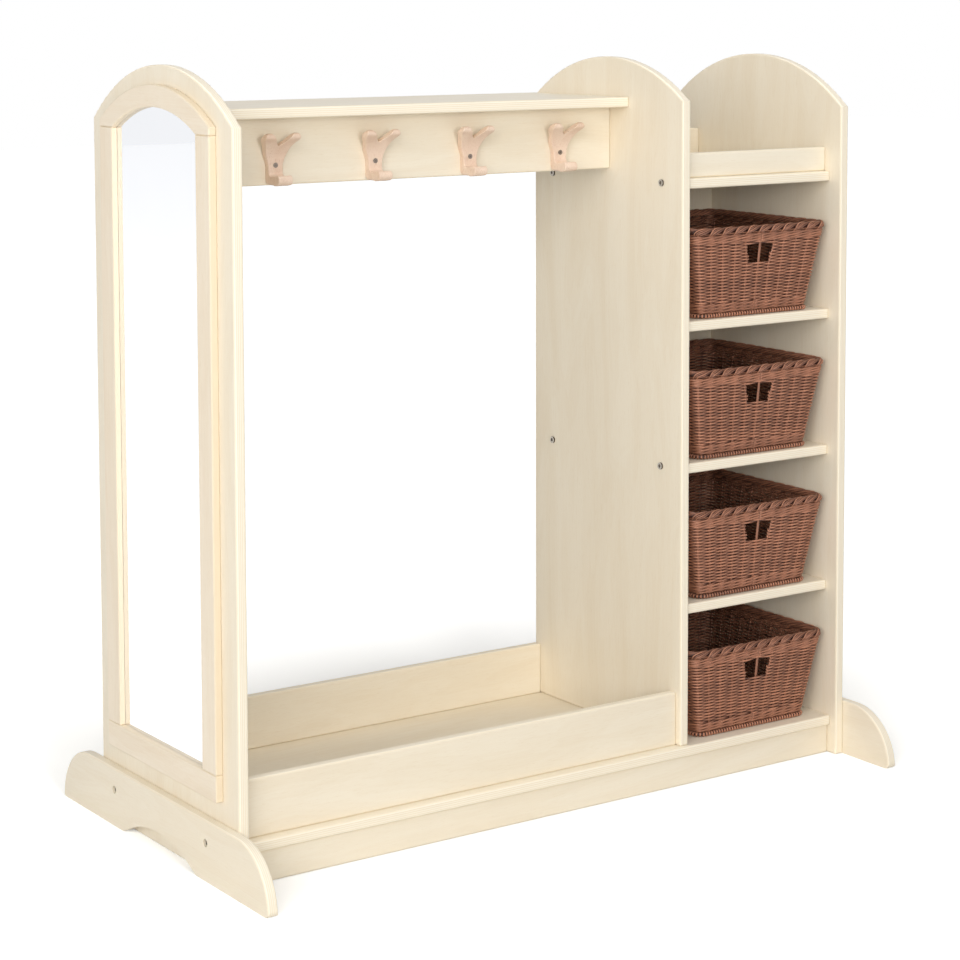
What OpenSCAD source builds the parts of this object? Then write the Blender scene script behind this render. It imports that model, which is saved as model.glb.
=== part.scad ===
// Children's dress-up storage unit: a coat bay with hooks and a shoe trough,
// a column of four basket shelves, and a tall arched mirror on the left end.
// Millimetres. The front faces -Y, +Z is up, and the origin is on the floor
// under the middle of the unit.

/* [Overall size] */
// Width over the outer faces of the two end panels
unit_w = 1050; // [850:10:1300]
// Height to the top of the arches
unit_h = 1067; // [885:1:1290]
// Depth of the end panels, front to back
panel_d = 400; // [330:5:490]

/* [Boards] */
// Thickness of the plywood boards
board_t = 15; // [12:1:18]
// Radius that eases the edges of the boards
edge_r = 3; // [1:0.5:4]
// Radius of the arched tops
arch_r = 300; // [250:5:400]
// How far the partition stands in from the end panels, front and back
mid_inset = 18; // [0:1:40]
// How far the base shelf stands in from the end panels, front and back
base_inset = 12; // [0:1:20]
// How far the plinth boards stand in from the end panels, front and back
plinth_inset = 18; // [13:1:60]
// Height of the base shelf's upper face
base_top = 59; // [50:1:90]

/* [Coat bay] */
// Drop of the top shelf's upper face below the top of the arches
top_shelf_drop = 59; // [50:1:90]
// Depth of the top shelf, front to back
top_shelf_d = 238; // [190:1:280]
// Height of the board that carries the hooks
hook_board_h = 93; // [85:1:130]
// Distance from the top shelf's front edge to the face of the hook board
hook_board_setback = 45; // [38:1:80]
// Distance from the left end panel to the middle of the first hook
first_hook = 150; // [60:1:180]
// Distance from the last hook's middle to the partition
last_hook = 100; // [60:1:180]
// Height of the screw above the lower edge of the hook board
hook_screw_z = 28; // [27:1:40]
// Height of the two trough boards
trough_h = 79; // [60:1:130]
// How far the front trough board stands in from the end panels
trough_inset = 28; // [20:1:60]

/* [Basket column] */
// Clear width between the partition and the right end panel
bay_w = 275; // [220:5:330]
// Drop of the upper shelf's top face below the top of the arches
gallery_drop = 174; // [140:1:220]
// How far the shelves stand in from the end panels
shelf_inset = 24; // [18:1:45]
// Distance from the back panels to the partition's rear edge
back_panel_setback = 76; // [20:1:100]
// Thickness of the back panels
back_panel_t = 6; // [4:1:9]
// Height of the low rail at the front of the upper shelf
gallery_rail_h = 36; // [20:1:60]
// Thickness of that rail
gallery_rail_t = 12; // [10:1:18]
// Height of the board at the back of the upper shelf
gallery_back_h = 53; // [30:1:90]
// Distance from that board to the partition's rear edge
gallery_setback = 34; // [10:1:60]

/* [Feet] */
// Length of a foot, front to back
foot_l = 600; // [500:2:740]
// Height of a foot
foot_h = 82; // [70:1:100]
// Width of the arch cut into the bottom of a foot
foot_arch_w = 210; // [120:2:240]
// Height of that arch
foot_arch_h = 28; // [18:1:34]
// Radius that eases the ends of that arch
foot_arch_ease = 30; // [8:1:34]
// Radius that eases the lower corners of a foot's ends
foot_toe_r = 8; // [4:1:14]

/* [Mirror] */
// Width of the band of panel left in front of and behind the frame
frame_band = 42; // [30:1:60]
// Width of the band of panel left above the frame
frame_band_top = 26; // [18:1:40]
// Height of the frame's lower edge
frame_z = 110; // [100:1:160]
// Width of the upright frame pieces
stile_w = 38; // [30:1:55]
// Height of the lower frame piece
rail_h = 36; // [28:1:60]
// Width of the arched frame piece at its middle
arch_piece_w = 30; // [26:1:45]
// Thickness of the frame
frame_t = 11; // [7:0.5:14]
// Radius that eases the edges of the frame
frame_edge_r = 2; // [1:0.5:3]
// Thickness of the mirror
mirror_t = 3; // [2:0.5:4]
// How far the mirror reaches under the frame
mirror_lap = 6; // [4:1:12]
// Gap round the mirror in its rebate
mirror_gap = 0.3; // [0.2:0.1:1]

/* [Hooks] */
// Width of a hook's body
hook_w = 20; // [16:1:24]
// Thickness of a hook's body
hook_t = 10; // [8:1:13]
// Reach of the two upper prongs from the middle, sideways
prong_reach = 28; // [24:1:34]
// Height of the prong tips above the screw
prong_rise = 38; // [34:1:42]
// Inner radius of the forward sweep of the prongs
prong_sweep_r = 34; // [28:1:44]
// Radius of the round prong tips
prong_tip_r = 7; // [5:0.5:9]
// Reach of the lower prong from the board
lower_reach = 38; // [32:1:50]
// Thickness of the lower prong
lower_t = 11; // [8:1:13]
// Height from the lowest point of a hook to its screw
hook_drop = 27; // [24:1:27]

/* [Baskets] */
// Height of a basket with its rim
basket_h = 135; // [100:1:140]
// Gap between a basket's rim and the boards at its sides
basket_side_gap = 5; // [3:1:12]
// Gap between a basket's rim and the back panel behind it
basket_back_gap = 6; // [3:1:20]
// How far a rim stands in front of its shelf
basket_proud = 8; // [0:1:10]
// How far each side wall leans out from the base to the rim
basket_side_lean = 24; // [8:1:30]
// How far the front and back walls lean out from the base to the rim
basket_front_lean = 16; // [8:1:40]
// Thickness of the woven wall
weave_t = 5; // [4:0.5:7]
// Radius of a basket's corners at its base
basket_corner_r = 14; // [10:1:24]
// Radius of the braided rim
rim_r = 6.5; // [5.5:0.5:8]
// Radius of the coiled border round the base
border_r = 3.5; // [3:0.5:5]
// Width of the handle opening at its top
grip_top_w = 50; // [40:1:60]
// Width of the handle opening at its bottom
grip_bottom_w = 38; // [30:1:50]
// Height of the handle opening
grip_h = 28; // [18:1:32]
// Distance from the rim down to the handle opening
grip_drop = 18; // [8:1:22]
// Width of the upright stake that crosses the handle opening
stake_w = 5; // [3:0.5:6]
// Gap under a basket, so that it slides
basket_lift = 0.3; // [0.2:0.1:1]

/* [Fasteners] */
// Distance of the bolts from the middle of the unit, front and back
bolt_y = 134; // [100:1:140]
// Radius of the bolts
bolt_r = 3; // [2.5:0.5:4]
// Radius of the bolt heads
bolt_head_r = 5; // [4.5:0.5:9]
// Thickness of the bolt heads
bolt_head_t = 2.4; // [2:0.2:4]
// Depth of the recess that takes a bolt head in a foot
bolt_recess = 6; // [5:0.5:8]
// Distance from a board's end to its barrel nut
nut_inset = 34; // [28:1:45]
// Radius of the barrel nuts
nut_r = 5; // [4.5:0.5:6]
// Radius of the wooden dowels
dowel_r = 4; // [3:0.5:4.5]
// Length of a dowel inside a board's end
dowel_in = 20; // [14:1:26]
// Wood left between a dowel and the far face of a panel
dowel_skin = 4; // [3:0.5:6]
// Free length of a dowel's hole past its end
glue_room = 2; // [1:0.5:4]
// Radius of the screws' shanks
screw_r = 2; // [1.5:0.25:2.5]
// Radius of the screw heads
screw_head_r = 3.6; // [3:0.2:4.4]
// Clearance round bolts, nuts, dowels and screws
fit_gap = 0.1; // [0.05:0.05:0.3]

/* [Hidden] */
$fn = 64;
wood = "#f1e3c8";
wood_edge = "#f6ecd2";
beech = "#e0bfa6";
wicker = "#7d4a3a";
steel = "#a9abad";
glass = "#e9eef2";

front = -panel_d/2;
back = panel_d/2;
left_face = -unit_w/2;
left_in = left_face + board_t;
right_face = unit_w/2;
right_in = right_face - board_t;
mid_right = right_in - bay_w;
mid_left = mid_right - board_t;
mid_front = front + mid_inset;
mid_back = back - mid_inset;
coat_w = mid_left - left_in;

base_front = front + base_inset;
base_d = panel_d - 2*base_inset;
base_under = base_top - board_t;

top_shelf_z = unit_h - top_shelf_drop - board_t;
top_shelf_front = mid_back - top_shelf_d;
hook_face = top_shelf_front + hook_board_setback;
hook_board_z = top_shelf_z - hook_board_h;
hook_z = hook_board_z + hook_screw_z;
hook_n = 4;
hook_pitch = (coat_w - first_hook - last_hook)/(hook_n - 1);
trough_front = front + trough_inset;
trough_back = mid_back - board_t;

shelf_n = 4;
gallery_z = unit_h - gallery_drop;
shelf_pitch = (gallery_z - base_top)/shelf_n;
shelf_front = front + shelf_inset;
back_panel_y = mid_back - back_panel_setback - back_panel_t;
gallery_back_y = mid_back - gallery_setback - board_t;
shelf_back = gallery_back_y + board_t;
gallery_rail_y = shelf_front + 10;

arch_z = unit_h - arch_r;
frame_w = panel_d - 2*frame_band;
frame_out_r = arch_r - frame_band_top;
frame_in_r = frame_out_r - arch_piece_w;
mirror_w = frame_w - 2*stile_w;
rail_top = frame_z + rail_h;
spring_z = arch_z + sqrt(pow(frame_in_r, 2) - pow(mirror_w/2, 2));

rim_w = bay_w - 2*basket_side_gap;
rim_d = back_panel_y - shelf_front + basket_proud - basket_back_gap;
rim_y = back_panel_y - basket_back_gap - rim_d/2;
rim_flat = 4;
rim_over = 3;
wall_top = basket_h - rim_r - rim_flat;
wall_w = rim_w - 2*rim_over;
wall_d = rim_d - 2*rim_over;
foot_w = wall_w - 2*basket_side_lean;
foot_d = wall_d - 2*basket_front_lean;
basket_x = mid_right + bay_w/2;

// Upper face of each shelf that carries a basket, from the top one down
function seat(k) = gallery_z - k*shelf_pitch;

// ---- shapes that several pieces share ----

// A rectangle with round corners, from its lower left corner
module rounded_rect(a, b, r) {
    translate([r, 0]) square([a - 2*r, b]);
    translate([0, r]) square([a, b - 2*r]);
    for (x = [r, a - r], y = [r, b - r]) translate([x, y]) circle(r);
}

// A board with all its edges eased
module board(size, r = edge_r) {
    intersection() {
        linear_extrude(size.z) rounded_rect(size.x, size.y, r);
        translate([0, size.y, 0]) rotate([90, 0, 0])
            linear_extrude(size.y) rounded_rect(size.x, size.z, r);
        rotate([90, 0, 90]) linear_extrude(size.x) rounded_rect(size.y, size.z, r);
    }
}

// A disc with an eased rim, its axis along X
module rim_disc(radius, t, r) {
    rotate([0, 90, 0]) rotate_extrude($fn = 180) {
        square([radius - r, t]);
        translate([0, r]) square([radius, t - 2*r]);
        for (y = [r, t - r]) translate([radius - r, y]) circle(r);
    }
}

// An upright panel with an arched top, its thickness along X
module arched_panel(d, z0) {
    shoulder_z = arch_z + sqrt(pow(arch_r, 2) - pow(d/2, 2));
    intersection() {
        translate([0, -d/2, z0]) board([board_t, d, unit_h + 20 - z0]);
        union() {
            translate([0, 0, arch_z]) rim_disc(arch_r, board_t, edge_r);
            translate([-1, -d/2 - 1, z0 - 1]) cube([board_t + 2, d + 2, shoulder_z - 7 - z0]);
        }
    }
}

// A round hole or rod along X, from x0 to x1
module rod_x(x0, x1, y, z, r) {
    translate([x0, y, z]) rotate([0, 90, 0]) cylinder(h = x1 - x0, r = r);
}

// A dowel across a joint at x, with the board on the side that s points to.
// Its hole has room for glue past the end that is in the board.
module dowel_at(x, s, y, z, gap = 0) {
    into_panel = board_t - dowel_skin;
    into_board = dowel_in + (gap > 0 ? glue_room : 0);
    x0 = s > 0 ? x - into_panel : x - into_board;
    x1 = s > 0 ? x + into_board : x + into_panel;
    rod_x(x0, x1, y, z, dowel_r + gap);
}

// ---- where the fasteners go ----

// Dowels: [joint x, side of the board, y, z]
shelf_dowel_y = [shelf_front + 60, back_panel_y - 60];
top_dowel_y = [top_shelf_front + 30, mid_back - 30];
hook_dowel_z = [hook_board_z + 22, top_shelf_z - 22];
trough_dowel_z = base_top + trough_h/2;
plinth_dowel_z = base_under/2;
coat_ends = [[left_in, 1], [mid_left, -1]];
bay_ends = [[mid_right, 1], [right_in, -1]];
base_ends = [[left_in, 1], [right_in, -1]];
plinth_y = [front + plinth_inset + board_t/2, back - plinth_inset - board_t/2];
trough_y = [trough_front + board_t/2, trough_back + board_t/2];

function shelf_dowels(k) =
    [for (e = bay_ends, y = shelf_dowel_y) [e[0], e[1], y, seat(k - 1) - board_t/2]];
top_dowels = [for (e = coat_ends, y = top_dowel_y) [e[0], e[1], y, top_shelf_z + board_t/2]];
hook_dowels = [for (e = coat_ends, z = hook_dowel_z) [e[0], e[1], hook_face + board_t/2, z]];
trough_dowels = [for (e = coat_ends, y = trough_y) [e[0], e[1], y, trough_dowel_z]];
plinth_dowels = [for (e = base_ends, y = plinth_y) [e[0], e[1], y, plinth_dowel_z]];
gallery_dowels = [for (e = bay_ends) each [
    [e[0], e[1], gallery_rail_y + gallery_rail_t/2, gallery_z + gallery_rail_h/2],
    [e[0], e[1], gallery_back_y + board_t/2, gallery_z + gallery_back_h/2]]];
all_dowels = concat(shelf_dowels(2), shelf_dowels(4), top_dowels, hook_dowels,
    trough_dowels, plinth_dowels, gallery_dowels);

module dowels(list, gap = 0) {
    for (p = list) dowel_at(p[0], p[1], p[2], p[3], gap);
}

// Bolts run along X: [head face x, direction, y, z]
bolt_z = base_under + board_t/2;
bolted_shelves = [1, 3];
foot_face = board_t - bolt_recess;
foot_bolt_list = [for (s = [-1, 1], y = [-bolt_y, bolt_y])
    [s*(unit_w/2 + foot_face), -s, y, bolt_z]];
shelf_bolt_y = [-bolt_y, min(bolt_y, shelf_back - nut_r - 3)];
mid_bolt_list = [for (k = bolted_shelves, y = shelf_bolt_y)
    [mid_left, 1, y, seat(k - 1) - board_t/2]];
end_bolt_list = [for (k = bolted_shelves, y = shelf_bolt_y)
    [right_face, -1, y, seat(k - 1) - board_t/2]];
nut_past = 6;
foot_bolt_l = foot_face + board_t + nut_inset + nut_past;
shelf_bolt_l = board_t + nut_inset + nut_past;

module bolt(p, length) {
    translate([p[0], p[2], p[3]]) rotate([0, 90*p[1], 0]) difference() {
        union() {
            cylinder(h = length, r = bolt_r);
            translate([0, 0, -bolt_head_t]) cylinder(h = bolt_head_t, r = bolt_head_r);
        }
        translate([0, 0, -bolt_head_t - 1])
            cylinder(h = 1 + bolt_head_t*0.7, r = bolt_head_r*0.55, $fn = 6);
    }
}

module bolt_hole(p, length) {
    x1 = p[0] + p[1]*(length + 1);
    rod_x(min(p[0], x1), max(p[0], x1), p[2], p[3], bolt_r + fit_gap);
}

nut_h = board_t - 2;
module nut_at(x, y, shelf_top, gap = 0) {
    translate([x, y, shelf_top - board_t - (gap > 0 ? 1 : 0)])
        cylinder(h = nut_h + (gap > 0 ? 1 : 0), r = nut_r + gap);
}
module shelf_nuts(k, gap = 0) {
    for (x = [mid_right + nut_inset, right_in - nut_inset], y = shelf_bolt_y)
        nut_at(x, y, seat(k - 1), gap);
}
module base_nuts(gap = 0) {
    for (s = [-1, 1], y = [-bolt_y, bolt_y])
        nut_at(s*(right_in - nut_inset), y, base_top, gap);
}

// Screws driven up through the base shelf: [x, y]
screw_list = concat(
    [for (y = [mid_front + 60, mid_back - 60]) [mid_left + board_t/2, y]],
    [for (x = [left_in + 120, mid_left - 120], y = trough_y) [x, y]]);
screw_up = 30;
screw_sink = 0.5;
module base_screw(p, gap = 0) {
    flare = (screw_head_r - screw_r)/3;
    mouth = gap > 0 ? screw_sink + 1 : 0;
    translate([p[0], p[1], base_under + screw_sink]) {
        cylinder(h = board_t + screw_up - screw_sink, r = screw_r + gap);
        translate([0, 0, -mouth])
            cylinder(h = 3 + mouth, r1 = screw_head_r + gap + flare*mouth, r2 = screw_r + gap);
    }
}

// ---- panels and boards ----

module left_end_panel() {
    color(wood) difference() {
        translate([left_face, 0, 0]) arched_panel(panel_d, 0);
        dowels([for (p = all_dowels) if (p[0] < 0) p], fit_gap);
        for (p = foot_bolt_list) if (p[0] < 0) bolt_hole(p, foot_bolt_l);
    }
}

module right_end_panel() {
    color(wood) difference() {
        translate([right_in, 0, 0]) arched_panel(panel_d, 0);
        dowels([for (p = all_dowels) if (p[0] > mid_right + 1) p], fit_gap);
        for (p = foot_bolt_list) if (p[0] > 0) bolt_hole(p, foot_bolt_l);
        for (p = end_bolt_list) bolt_hole(p, shelf_bolt_l);
    }
}

module mid_panel() {
    color(wood) difference() {
        translate([mid_left, 0, 0]) arched_panel(panel_d - 2*mid_inset, base_top);
        dowels([for (p = all_dowels) if (p[0] > 0 && p[0] < mid_right + 1) p], fit_gap);
        for (p = mid_bolt_list) bolt_hole(p, shelf_bolt_l);
        for (p = screw_list) if (p[0] > mid_left) base_screw(p, fit_gap);
    }
}

// The corner left outside a foot's round toe, on the side that s points to
module toe_waste(s, run) {
    big = foot_h - foot_toe_r;
    toe_y = sqrt(pow(big, 2) - pow(foot_toe_r, 2));
    touch = [run + toe_y*foot_h/big, foot_toe_r*foot_h/big];
    far = foot_l/2 + 1;
    difference() {
        polygon([[s*(run + toe_y), -1], [s*far, -1], [s*far, touch.y],
            [s*touch.x, touch.y], [s*(run + toe_y), foot_toe_r]]);
        translate([s*(run + toe_y), foot_toe_r]) circle(foot_toe_r);
    }
}

// A foot with quarter-round ends and a shallow arch underneath
module foot_blank() {
    run = foot_l/2 - foot_h;
    arc_r = (pow(foot_arch_w/2, 2) + pow(foot_arch_h, 2))/(2*foot_arch_h);
    arc_z = foot_arch_h - arc_r;
    ease_y = sqrt(pow(arc_r + foot_arch_ease, 2) - pow(foot_arch_ease - arc_z, 2));
    touch = arc_r/(arc_r + foot_arch_ease);
    difference() {
        intersection() {
            union() {
                translate([0, -run, -foot_h]) board([board_t, 2*run, 2*foot_h]);
                for (s = [-1, 1]) translate([0, s*run, 0]) rim_disc(foot_h, board_t, edge_r);
            }
            translate([-1, -foot_l/2, 0]) cube([board_t + 2, foot_l, foot_h]);
        }
        translate([-1, 0, 0]) rotate([90, 0, 90]) linear_extrude(board_t + 2) {
            translate([0, arc_z]) circle(arc_r, $fn = 180);
            for (s = [-1, 1]) difference() {
                polygon([[0, -1], [s*ease_y, -1], [s*ease_y, 0],
                    [s*ease_y*touch, arc_z + (foot_arch_ease - arc_z)*touch], [0, foot_arch_h/2]]);
                translate([s*ease_y, foot_arch_ease]) circle(foot_arch_ease);
            }
            for (s = [-1, 1]) toe_waste(s, run);
        }
    }
}

module foot(s) {
    color(wood) difference() {
        translate([s > 0 ? right_face : left_face - board_t, 0, 0]) foot_blank();
        for (p = foot_bolt_list) if (p[0]*s > 0) {
            bolt_hole(p, foot_bolt_l);
            rod_x(s > 0 ? p[0] : p[0] - bolt_recess - 1, s > 0 ? p[0] + bolt_recess + 1 : p[0],
                p[2], p[3], bolt_head_r + 0.4);
        }
    }
}
module left_foot() { foot(-1); }
module right_foot() { foot(1); }

module base_shelf() {
    color(wood_edge) difference() {
        translate([left_in, base_front, base_under]) board([right_in - left_in, base_d, board_t]);
        for (p = foot_bolt_list) bolt_hole(p, foot_bolt_l);
        base_nuts(fit_gap);
        for (p = screw_list) base_screw(p, fit_gap);
    }
}

module plinth(y) {
    color(wood) difference() {
        translate([left_in, y, 0]) board([right_in - left_in, board_t, base_under]);
        dowels(plinth_dowels, fit_gap);
    }
}
module front_plinth() { plinth(front + plinth_inset); }
module back_plinth() { plinth(back - plinth_inset - board_t); }

module trough_board(y) {
    color(wood) difference() {
        translate([left_in, y, base_top]) board([coat_w, board_t, trough_h]);
        dowels(trough_dowels, fit_gap);
        for (p = screw_list) base_screw(p, fit_gap);
    }
}
module trough_front_board() { trough_board(trough_front); }
module trough_back_board() { trough_board(trough_back); }

module top_shelf() {
    color(wood_edge) difference() {
        translate([left_in, top_shelf_front, top_shelf_z]) board([coat_w, top_shelf_d, board_t]);
        dowels(top_dowels, fit_gap);
    }
}

module hook_board() {
    color(wood) difference() {
        translate([left_in, hook_face, hook_board_z]) board([coat_w, board_t, hook_board_h]);
        dowels(hook_dowels, fit_gap);
        for (k = [1 : hook_n]) hook_screw(k, fit_gap);
    }
}

module bay_shelf(k) {
    color(wood_edge) difference() {
        translate([mid_right, shelf_front, seat(k - 1) - board_t])
            board([bay_w, shelf_back - shelf_front, board_t]);
        if (k == 1 || k == 3) {
            for (p = concat(mid_bolt_list, end_bolt_list)) bolt_hole(p, shelf_bolt_l);
            shelf_nuts(k, fit_gap);
        } else dowels(shelf_dowels(k), fit_gap);
    }
}
module bay_shelf_1() { bay_shelf(1); }
module bay_shelf_2() { bay_shelf(2); }
module bay_shelf_3() { bay_shelf(3); }
module bay_shelf_4() { bay_shelf(4); }

module gallery_rail() {
    color(wood) difference() {
        translate([mid_right, gallery_rail_y, gallery_z]) board([bay_w, gallery_rail_t, gallery_rail_h]);
        dowels(gallery_dowels, fit_gap);
    }
}
module gallery_back() {
    color(wood) difference() {
        translate([mid_right, gallery_back_y, gallery_z]) board([bay_w, board_t, gallery_back_h]);
        dowels(gallery_dowels, fit_gap);
    }
}
// One thin panel behind each basket, from shelf to shelf
module bay_back_panel() {
    color(wood) for (k = [1 : shelf_n]) translate([mid_right, back_panel_y, seat(k)])
        board([bay_w, back_panel_t, shelf_pitch - board_t], 1);
}

// ---- mirror and its raised frame ----

frame_x = left_face - frame_t;

module mirror_outline(grow = 0) {
    half = mirror_w/2 + mirror_lap + grow;
    low = rail_top - mirror_lap - grow;
    intersection() {
        translate([-half, low]) square([2*half, unit_h - low]);
        union() {
            translate([0, arch_z]) circle(frame_in_r + mirror_lap + grow, $fn = 180);
            translate([-half, low]) square([2*half, arch_z - low]);
        }
    }
}

module mirror_rebate() {
    translate([left_face - mirror_t - mirror_gap, 0, 0]) rotate([90, 0, 90])
        linear_extrude(mirror_t + mirror_gap + 1) mirror_outline(mirror_gap);
}

module mirror() {
    color(glass) translate([left_face - mirror_t, 0, 0]) rotate([90, 0, 90])
        linear_extrude(mirror_t) mirror_outline();
}

// The curved inner edge of the arched piece, eased on its face
module arch_opening() {
    translate([frame_x, 0, arch_z]) rotate([0, 90, 0]) rotate_extrude($fn = 180) {
        translate([0, -1]) square([frame_in_r, frame_t + 2]);
        difference() {
            translate([0, -1]) square([frame_in_r + frame_edge_r, frame_edge_r + 1]);
            translate([frame_in_r + frame_edge_r, frame_edge_r]) circle(frame_edge_r);
        }
    }
}

module mirror_frame_arch() {
    color(wood_edge) difference() {
        intersection() {
            translate([frame_x, -frame_w/2, spring_z])
                board([frame_t, frame_w, unit_h - spring_z], frame_edge_r);
            translate([frame_x, 0, arch_z]) rim_disc(frame_out_r, frame_t, frame_edge_r);
        }
        arch_opening();
        mirror_rebate();
    }
}

module stile(y) {
    color(wood_edge) difference() {
        translate([frame_x, y, rail_top])
            board([frame_t, stile_w, spring_z - rail_top], frame_edge_r);
        mirror_rebate();
    }
}
module mirror_frame_back_stile() { stile(frame_w/2 - stile_w); }
module mirror_frame_front_stile() { stile(-frame_w/2); }

module mirror_frame_rail() {
    color(wood_edge) difference() {
        translate([frame_x, -frame_w/2, frame_z]) board([frame_t, frame_w, rail_h], frame_edge_r);
        mirror_rebate();
    }
}

// ---- coat hooks: a front outline and a side outline sawn from one block ----

// Points on an arc from one angle to another
function arc(c, r, from, to, n = 10) =
    [for (i = [0 : n]) let(a = from + (to - from)*i/n) [c.x + r*cos(a), c.y + r*sin(a)]];
function flipped(points) = [for (i = [len(points) - 1 : -1 : 0]) [-points[i].x, points[i].y]];

// Seen from the front, with the screw at the origin: the right half, going up
module hook_front_outline() {
    tip = [prong_reach, prong_rise];
    waist_r = 30;
    waist = [hook_w/2 + waist_r, -4];
    gap = sqrt(pow(waist.x - tip.x, 2) + pow(tip.y - waist.y, 2));
    // the prong's lower edge leaves the waist and runs straight to the round tip
    aim = atan2(tip.y - waist.y, tip.x - waist.x);
    side = aim + acos((waist_r + prong_tip_r)/gap);
    crotch_r = 3;
    crotch = [0, prong_rise - 8];
    rise = [tip.x - crotch.x, tip.y - crotch.y];
    slope = atan2(rise.y, rise.x) + asin((crotch_r + prong_tip_r)/norm(rise)) + 90;
    half = concat(
        arc([hook_w/2 - 3, 3 - hook_drop], 3, -90, 0, 5),
        arc(waist, waist_r, 180, side, 14),
        arc(tip, prong_tip_r, side - 180, slope, 14),
        arc(crotch, crotch_r, slope - 180, -90, 5));
    polygon(concat(half, [for (i = [1 : len(half) - 1]) flipped(half)[i]]));
}

// Seen from the side, with the board at x = 0 and the front towards +x
module hook_side_outline() {
    sweep_z = prong_rise - 30;
    centre = [prong_sweep_r + hook_t, sweep_z];
    swing = 54;
    heel_r = 9;
    nose_r = lower_t/2;
    nose = [lower_reach - nose_r, nose_r - hook_drop + 3];
    throat_r = 6;
    throat = [hook_t + throat_r, lower_t + 1 - hook_drop + throat_r];
    tip_d = prong_sweep_r + hook_t/2;
    polygon(concat(
        arc([heel_r, heel_r - hook_drop], heel_r, 180, 270, 9),
        arc([heel_r + 9, 40 - hook_drop], 40, 270, 278, 3),
        arc(nose, nose_r, -75, 100, 14),
        arc(throat, throat_r, -85, -180, 9),
        arc(centre, prong_sweep_r, 180, 180 - swing, 12),
        arc([centre.x - tip_d*cos(swing), centre.y + tip_d*sin(swing)], hook_t/2, -swing, 180 - swing, 12),
        arc(centre, prong_sweep_r + hook_t, 180 - swing, 180, 12)));
}

function hook_x(k) = left_in + first_hook + (k - 1)*hook_pitch;

module hook_screw(k, gap = 0) {
    head_y = hook_face - hook_t;
    translate([hook_x(k), head_y, hook_z]) rotate([-90, 0, 0]) {
        cylinder(h = hook_t + board_t - 3, r = screw_r + gap);
        cylinder(h = 2.2, r1 = screw_head_r + gap, r2 = screw_r + gap);
    }
}

module coat_hook(k) {
    color(beech) difference() {
        translate([hook_x(k), hook_face, hook_z]) intersection() {
            translate([0, 1, 0]) rotate([90, 0, 0]) linear_extrude(lower_reach + 5) hook_front_outline();
            translate([prong_reach + 10, 0, 0]) rotate([90, 0, -90])
                linear_extrude(2*prong_reach + 20) hook_side_outline();
        }
        hook_screw(k, fit_gap);
        translate([hook_x(k), hook_face - hook_t - 30, hook_z]) rotate([-90, 0, 0])
            cylinder(h = 30, r = screw_head_r + fit_gap);
    }
}
module coat_hook_1() { coat_hook(1); }
module coat_hook_2() { coat_hook(2); }
module coat_hook_3() { coat_hook(3); }
module coat_hook_4() { coat_hook(4); }

// ---- fasteners ----

module hook_screws() {
    color(steel) for (k = [1 : hook_n]) difference() {
        hook_screw(k);
        translate([hook_x(k), hook_face - hook_t - 1, hook_z]) rotate([-90, 0, 0])
            cylinder(h = 2.2, r = 1.3, $fn = 4);
    }
}
module foot_bolts() {
    color(steel) for (p = foot_bolt_list) bolt(p, foot_bolt_l);
}
module shelf_bolts() {
    color(steel) for (p = concat(mid_bolt_list, end_bolt_list)) bolt(p, shelf_bolt_l);
}
module barrel_nuts() {
    color(steel) difference() {
        union() {
            base_nuts();
            for (k = bolted_shelves) shelf_nuts(k);
        }
        for (p = foot_bolt_list) bolt_hole(p, foot_bolt_l);
        for (p = concat(mid_bolt_list, end_bolt_list)) bolt_hole(p, shelf_bolt_l);
    }
}
module wooden_dowels() {
    color(beech) dowels(all_dowels);
}
module base_screws() {
    color(steel) for (p = screw_list) difference() {
        base_screw(p);
        translate([p[0], p[1], base_under - 1]) cylinder(h = 2.6 + screw_sink, r = 1.5, $fn = 4);
    }
}

// ---- baskets ----

// A tapered tub, from w1 by d1 at the bottom to w2 by d2 at the top
module tub(w1, d1, w2, d2, r, h) {
    linear_extrude(h, scale = [w2/w1, d2/d1], slices = 1)
        translate([-w1/2, -d1/2]) rounded_rect(w1, d1, r, $fn = 24);
}

module grip_opening(s) {
    z1 = wall_top - grip_drop;
    z0 = z1 - grip_h;
    reach = 3*weave_t + basket_front_lean;
    translate([0, -rim_d/2 - 1, 0]) rotate([90, 0, 0]) translate([0, 0, -reach])
        linear_extrude(reach + 1)
            polygon([[s*stake_w/2, z0], [s*grip_bottom_w/2, z0], [s*grip_top_w/2, z1], [s*stake_w/2, z1]]);
}

module basket_walls() {
    h = wall_top - 2*border_r;
    color(wicker) difference() {
        translate([0, 0, 2*border_r]) difference() {
            tub(foot_w, foot_d, wall_w, wall_d, basket_corner_r, h);
            tub(foot_w - 2*weave_t, foot_d - 2*weave_t, wall_w - 2*weave_t, wall_d - 2*weave_t,
                basket_corner_r - weave_t, h);
        }
        for (s = [-1, 1]) grip_opening(s);
    }
}

// A bead that runs round a rectangle with round corners, with its section given
module bead(w, d, r) {
    for (s = [-1, 1]) {
        translate([-w/2 + r, s*d/2, 0]) rotate([90, 0, 90]) linear_extrude(w - 2*r)
            scale([-s, 1]) children();
        translate([s*w/2, s*(-d/2 + r), 0]) rotate([90, 0, s > 0 ? 180 : 0]) linear_extrude(d - 2*r)
            children();
    }
    for (a = [0 : 90 : 270]) rotate(a) {
        cw = (a == 0 || a == 180) ? w : d;
        cd = (a == 0 || a == 180) ? d : w;
        translate([cw/2 - r, cd/2 - r, 0]) rotate_extrude(angle = 90) translate([r, 0]) children();
    }
}

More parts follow.
